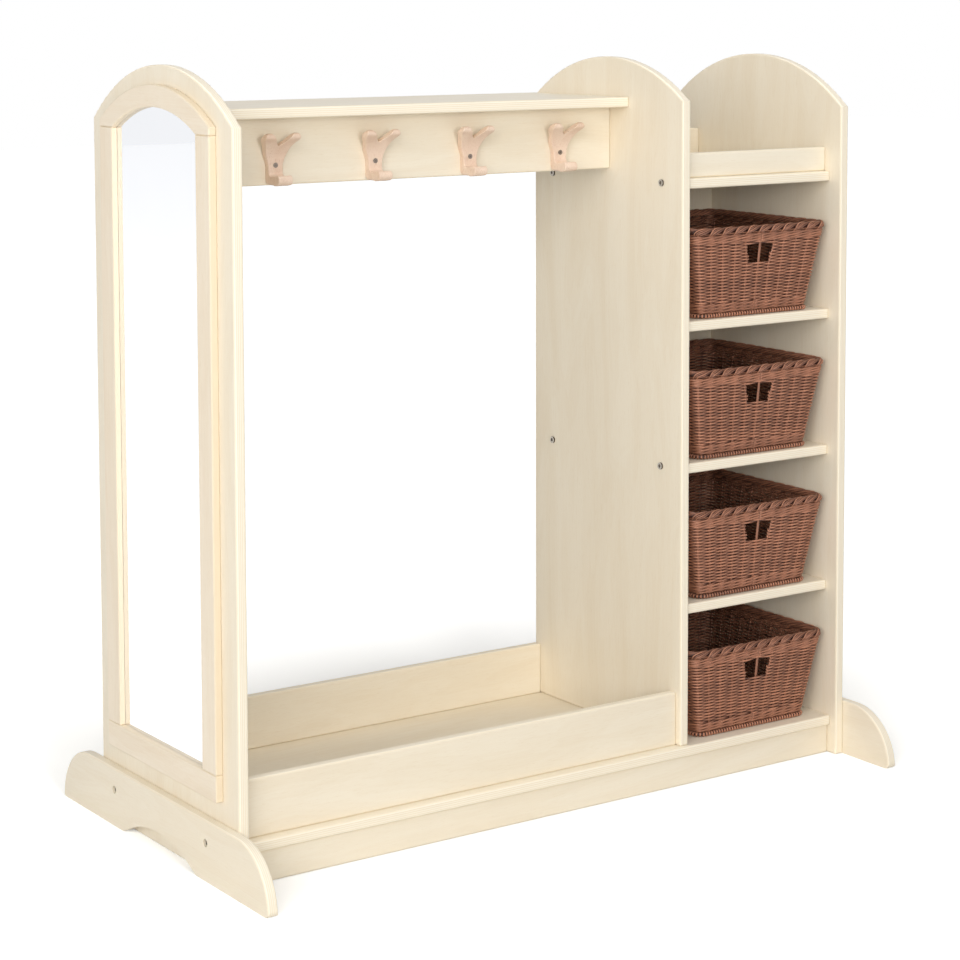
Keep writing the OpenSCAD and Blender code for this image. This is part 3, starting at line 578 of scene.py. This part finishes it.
# faint lines of the extrusion, 0.5 mm apart
line_place = add(tree, "Mapping", {}, {"Vector": spot.outputs["Object"],
                                       "Scale": (120, 120, 2000)})
lines = add(tree, "TexNoise", {}, {"Vector": line_place.outputs[0], "Scale": 1.0, "Detail": 1.0})
# random blotches of tone, added to each cane's tone and painted highlight and shade
tone = add(tree, "Math", {"operation": "MULTIPLY_ADD"},
           {0: blotch.outputs[0], 1: 0.45, 2: cane_light_and_tone.outputs["Fac"]})
tone = add(tree, "MapRange", {}, {"Value": tone.outputs[0], "From Min": 0.12, "From Max": 1.15})
colour = add(tree, "Mix", {"data_type": "RGBA"},
             {0: tone.outputs[0], 6: linear("#3b1c14"), 7: linear("#bf8468")})
rough = add(tree, "MapRange", {}, {"Value": blotch.outputs[0], "To Min": 0.36, "To Max": 0.56})
bump = add(tree, "Bump", {}, {"Strength": 0.25, "Distance": 0.0002, "Height": lines.outputs[0]})
skin = add(tree, "BsdfPrincipled", {},
           {"Base Color": colour.outputs[2], "Roughness": rough.outputs[0], "IOR": 1.49,
            "Normal": bump.outputs[0]})
add(tree, "OutputMaterial", {}, {"Surface": skin.outputs[0]})


def woven_walls(number, walls, rng):
    """The stakes, the plain weave and the twisted bands of one basket."""
    low, high = walls
    top = high.z - low.z
    half_top = ((high.x - low.x) / 2, (high.y - low.y) / 2)
    half_low = (half_top[0] - side_lean, half_top[1] - front_lean)

    def wall(share, height, out):
        """Points and outward directions on the wall's middle surface, moved out by out."""
        rise = np.broadcast_to(np.clip(height / top, -0.1, 1.1), len(share))
        spots = np.zeros((len(share), 3))
        ways = np.zeros((len(share), 3))
        p0, d0 = ring(*half_low, base_corner, share)
        p1, d1 = ring(*half_top, top_corner, share)
        way = d0 + (d1 - d0) * rise[:, None]
        way /= np.linalg.norm(way, axis=1)[:, None]
        # the foot of the wall curves in to the border
        tuck = 0.0022 * np.clip(1 - rise * top / 0.009, 0, 1) ** 2
        spots[:, :2] = p0 + (p1 - p0) * rise[:, None] + way * (out - wall_thick / 2 - tuck)[:, None]
        spots[:, 2] = height
        ways[:, :2] = way
        ways[:, 2] = -(np.abs(way[:, 0]) * side_lean + np.abs(way[:, 1]) * front_lean) / top
        return spots, ways

    def grip_half(height):
        """Half the width of the handle opening at a height."""
        return grip_narrow + grip_flare * (height - grip_low) / (grip_high - grip_low)

    canes = Canes()
    grip_low, grip_high = top - grip_bottom_down, top - grip_top_down

    # stakes, a little uneven. Those beside the handle follow its edges.
    heights = np.linspace(-0.001, top + 0.003, 30)
    for stake in range(stake_count):
        share = np.full(len(heights), stake / stake_count)
        wander = rng.normal(0, 0.0004, len(heights)).cumsum() * 0.2
        side = {1: 1, stake_count - 1: -1}.get(stake, 0)
        spots, ways = wall(share, heights, np.zeros(len(heights)))
        if side:
            away = np.clip(np.abs(heights - (grip_low + grip_high) / 2) - 0.013, 0, 1)
            near = np.exp(-(away / 0.012) ** 2)
            spots[:, 0] += (side * (grip_half(heights) + 0.0032) - spots[:, 0]) * near
        if stake:
            spots[:, 0] += wander * np.abs(ways[:, 1])
            spots[:, 1] += wander * np.abs(ways[:, 0])
        canes.lay(spots, ways, stake_wide if stake else middle_stake_wide, stake_thick,
                  rng.uniform(0.3, 0.55))

    # the plain weave is one long weaver that climbs as it goes round, thicker on its crowns
    band_pitch = 2 * weaver_pitch
    band_low, band_high = 3 * band_pitch, top - 2.6 * band_pitch
    laps = int((band_high - band_low) / weaver_pitch)
    laps += 1 - laps % 2
    steps = 6
    turn = np.arange(laps * stake_count * steps + 1) / steps
    share = turn / stake_count
    height = band_low + share * (band_high - band_low) / laps
    height += 0.00022 * np.sin(share * 2 * math.pi * 5 + number) + rng.normal(0, 0.00005, len(turn))
    wave = np.cos(math.pi * turn)
    spots, ways = wall(share, height, wave * wave_reach)
    wide = weaver_wide + crown_wider * wave ** 2
    # painted highlight on the outward crowns, and painted shade where the weaver passes behind a
    # stake
    shade = 0.05 + 0.70 * np.clip((wave + 0.45) / 1.1, 0, 1)
    in_grip = ((np.abs(spots[:, 0]) < grip_half(height) + 0.0012) & (spots[:, 1] < 0)
               & (height > grip_low) & (height < grip_high))
    edges = np.flatnonzero(np.diff(in_grip.astype(int)))
    starts = [0] + [e + 1 for e in edges if in_grip[e]]
    stops = [e + 1 for e in edges if not in_grip[e]] + [len(turn)]
    for start, stop in zip(starts, stops):
        # the weaver is pieced every few hundred millimetres, each length with its own dye
        cuts = np.unique(np.r_[np.arange(start, stop - 30, 150), stop])
        for begin, end in zip(cuts[:-1], cuts[1:]):
            run = slice(begin, min(end + 1, stop))
            canes.lay(spots[run], ways[run], wide[run], weaver_thick,
                      shade[run] + rng.uniform(-0.12, 0.22))
    # beside the handle the weaver turns back round the stake, every second row on each side
    for side, tips in ((1, starts[1:]), (-1, [stop - 1 for stop in stops[:-1]])):
        for row in range(0 if side > 0 else 1, len(tips) - 1, 2):
            first, second = spots[tips[row]], spots[tips[row + 1]]
            angle = np.linspace(0, math.pi, 9)
            bend = (first + second) / 2 + np.outer(np.cos(angle), (first - second) / 2)
            bend[:, 0] -= side * 0.0017 * np.sin(angle)
            # the turn gets the pale painted highlight of a crown
            canes.lay(bend, np.tile(ways[tips[row]], (9, 1)), 0.0024, weaver_thick, 0.8)

    # three weavers twist: each passes over two stakes and behind the third as it climbs
    climb_x = np.array([0.0, 0.10, 0.5, 0.90, 1.0])
    climb_z = np.array([0.0, -0.40, 0.0, 0.40, 0.0]) * 3 * weaver_pitch
    for level in [band_pitch * (row + 0.5) for row in range(3)] + [
            top - 0.0016 - band_pitch * 0.82 * (row + 0.5) for row in range(3)]:
        for weaver in range(3):
            turn = np.arange(stake_count * steps + 1) / steps
            phase = np.mod((turn - weaver) / 3, 1.0)
            height = np.clip(level + np.interp(phase, climb_x, climb_z), 0.0008, top - 0.0022)
            out = wave_reach * np.clip(0.35 - 1.5 * np.cos(2 * math.pi * phase), -1, 1)
            spots, ways = wall(turn / stake_count, height, out)
            # lighter where the weaver comes outward and darker behind the stakes: painted highlight
            # and shade, with random tone
            canes.lay(spots, ways, twist_wide, weaver_thick,
                      0.35 + 0.25 * out / wave_reach + rng.uniform(-0.1, 0.2))
    middle = (low + high) / 2
    return canes.piece(f"basket_{number}_woven_walls", (middle.x, middle.y, low.z), cane)


border_radius = 0.0065
border_corner = 0.018
core_thick = 0.0058
strand_pitch, strand_wide, strand_thick = 0.00215, 0.00192, 0.0020
strand_painted_shades = (0.58, 0.22, 0.48, 0.18)
border_start = math.radians(-60)
highest = 0.0060


def stake_border(number, rim, rng):
    """Each stake is a bundle of four canes. It comes up outside the wall, bends to the right
    over the next two and is tucked away inside, and leaves a notch before the next bundle."""
    low, high = rim
    reach = border_radius - weaver_thick / 2
    half_x = (high.x - low.x) / 2 - border_radius
    half_y = (high.y - low.y) / 2 - border_radius
    length = 4 * (half_x + half_y) - (8 - 2 * math.pi) * border_corner
    spacing = length / stake_count
    canes = Canes()
    core = np.linspace(0, 1, 200)
    spots, ways = ring(half_x, half_y, border_corner, core)
    # the core is painted dark, as the shade in the notches between bundles
    canes.lay(np.column_stack([spots, np.zeros(len(core))]),
              np.column_stack([ways, np.zeros(len(core))]), core_thick, core_thick, core_painted_shade, 8)
    # the bundle's middle line on the rim laid flat: along it, and across it from the outside
    rise = math.atan2(4 * 0.0021, spacing)
    travel = np.r_[np.linspace(0, 0.018, 13), np.linspace(0.022, 0.083, 20)]
    bent = np.clip((travel - 0.0048) / 0.0095, 0, 1)
    heading = math.pi / 2 + (rise - math.pi / 2) * bent * bent * (3 - 2 * bent)
    moved = np.diff(travel, prepend=0)
    along = np.cumsum(moved * np.cos(heading)) - 0.0035
    across = np.cumsum(moved * np.sin(heading)) + border_start * reach - 0.0045
    # the bundle stands proud where it bends, and sinks where the next one crosses it
    proud = (0.0011 * np.exp(-((travel - 0.014) / 0.007) ** 2)
             - 0.0009 * np.exp(-((travel - 0.036) / 0.008) ** 2))
    for stake in range(stake_count):
        for strand in range(4):
            off = (1.5 - strand) * strand_pitch + rng.normal(0, 0.00012)
            s = along - off * np.sin(heading) + stake * spacing
            w = across + off * np.cos(heading)
            angle = w / reach
            # before the bundle reaches the rim it stands straight in the wall
            straight = np.clip(border_start - angle, 0, None) * reach
            angle = np.clip(angle, border_start, None)
            tuck = 0.0016 * np.clip((angle - 2.9) / 1.2, 0, 1)
            layer = reach - tuck + proud + rng.normal(0, 0.00015)
            spots, ways = ring(half_x, half_y, border_corner, s / length)
            out = layer * np.cos(angle) + 0.87 * -straight
            level = np.minimum(layer * np.sin(angle), highest) - 0.5 * straight
            path = np.column_stack([spots + ways * out[:, None], level])
            face = np.column_stack([ways * np.cos(angle)[:, None], np.sin(angle)])
            # the strands are painted lighter and darker by turns, as highlight and shade between
            # them; where the bundle stands proud it gets a painted highlight, and where it stands
            # straight in the wall, painted shade
            shade = (strand_painted_shades[strand] + rng.uniform(-0.1, 0.1)
                     + 160 * proud - 0.4 * (straight > 0.001))
            canes.lay(path, face, strand_wide, strand_thick, shade)
    middle = (low + high) / 2
    return canes.piece(f"basket_{number}_stake_border",
                       (middle.x, middle.y, high.z - border_radius), cane)


base_edge = 0.0037
base_core_thick = 0.0038
whip_pitch, whip_radius, whip_wide, whip_thick = 0.00495, 0.0025, 0.0027, 0.0019
base_stakes, base_stake_wide, base_stake_thick = 9, 0.0046, 0.0014


def woven_base(number, base, rng):
    """The flat bottom in plain weave, with a cane whipped round its edge."""
    low, high = base
    half_x, half_y = (high.x - low.x) / 2 - base_edge, (high.y - low.y) / 2 - base_edge
    canes = Canes()
    core = np.linspace(0, 1, 200)
    spots, ways = ring(half_x, half_y, base_corner, core)
    # the core under the whipping is painted dark, as shade
    canes.lay(np.column_stack([spots, np.zeros(len(core))]),
              np.column_stack([ways, np.zeros(len(core))]), base_core_thick,
              base_core_thick, core_painted_shade, 8)
    # the whipping goes round the edge of the base as a helix
    length = 4 * (half_x + half_y) - (8 - 2 * math.pi) * base_corner
    wraps = int(length / whip_pitch)
    turn = np.linspace(0, 1, wraps * 10 + 1)
    angle = -turn * wraps * 2 * math.pi
    spots, ways = ring(half_x, half_y, base_corner, turn + 0.0009 * np.sin(angle))
    path = np.column_stack([spots + ways * (np.cos(angle) * whip_radius)[:, None],
                            -np.sin(angle) * whip_radius])
    out = np.column_stack([ways * np.cos(angle)[:, None], -np.sin(angle)])
    # each turn is painted lighter on its outside and darker on its inside, as highlight and shade,
    # with a slow random change of tone
    canes.lay(path, out, whip_wide, whip_thick,
              0.5 + 0.3 * np.cos(angle) + 0.2 * rng.uniform(-1, 1, len(turn)).cumsum() / 40)
    # the bottom
    gap = 2 * half_x / (base_stakes + 1)
    for stake in range(base_stakes):
        x = -half_x + gap * (stake + 1)
        path = np.array([[x, y, 0] for y in np.linspace(-half_y, half_y, 9)])
        canes.lay(path, np.tile([0, 0, 1.0], (9, 1)), base_stake_wide, base_stake_thick,
                  rng.uniform(0.1, 0.5))
    rows = int(2 * half_y / weaver_pitch)
    for row in range(rows):
        y = -half_y + (row + 0.5) * weaver_pitch
        inset = max(0.0, abs(y) - (half_y - base_corner))
        reach = half_x - (base_corner - math.sqrt(max(base_corner ** 2 - inset ** 2, 0)))
        x = np.linspace(-reach, reach, 6 * base_stakes + 7)
        wave = np.cos(math.pi * (x + half_x) / gap) * (1 if row % 2 else -1)
        path = np.column_stack([x, np.full(len(x), y), wave * base_stake_thick])
        # the crowns of the weave get a painted highlight, with random tone
        canes.lay(path, np.tile([0, 0, 1.0], (len(x), 1)), weaver_wide + 0.0004 * wave ** 2,
                  weaver_thick, 0.3 + 0.2 * np.abs(wave) + rng.uniform(-0.1, 0.2))
    middle = (low + high) / 2
    return canes.piece(f"basket_{number}_woven_base", middle, cane)


for number in range(1, 5):
    rng = np.random.default_rng(400 + number)
    boxes = {part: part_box(f"basket_{part}_{number}") for part in ("walls", "rim", "base")}
    for part, piece in (("walls", woven_walls(number, boxes["walls"], rng)),
                        ("rim", stake_border(number, boxes["rim"], rng)),
                        ("base", woven_base(number, boxes["base"], rng))):
        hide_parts(f"basket_{part}_{number}")
        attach(piece, f"basket_{number}")
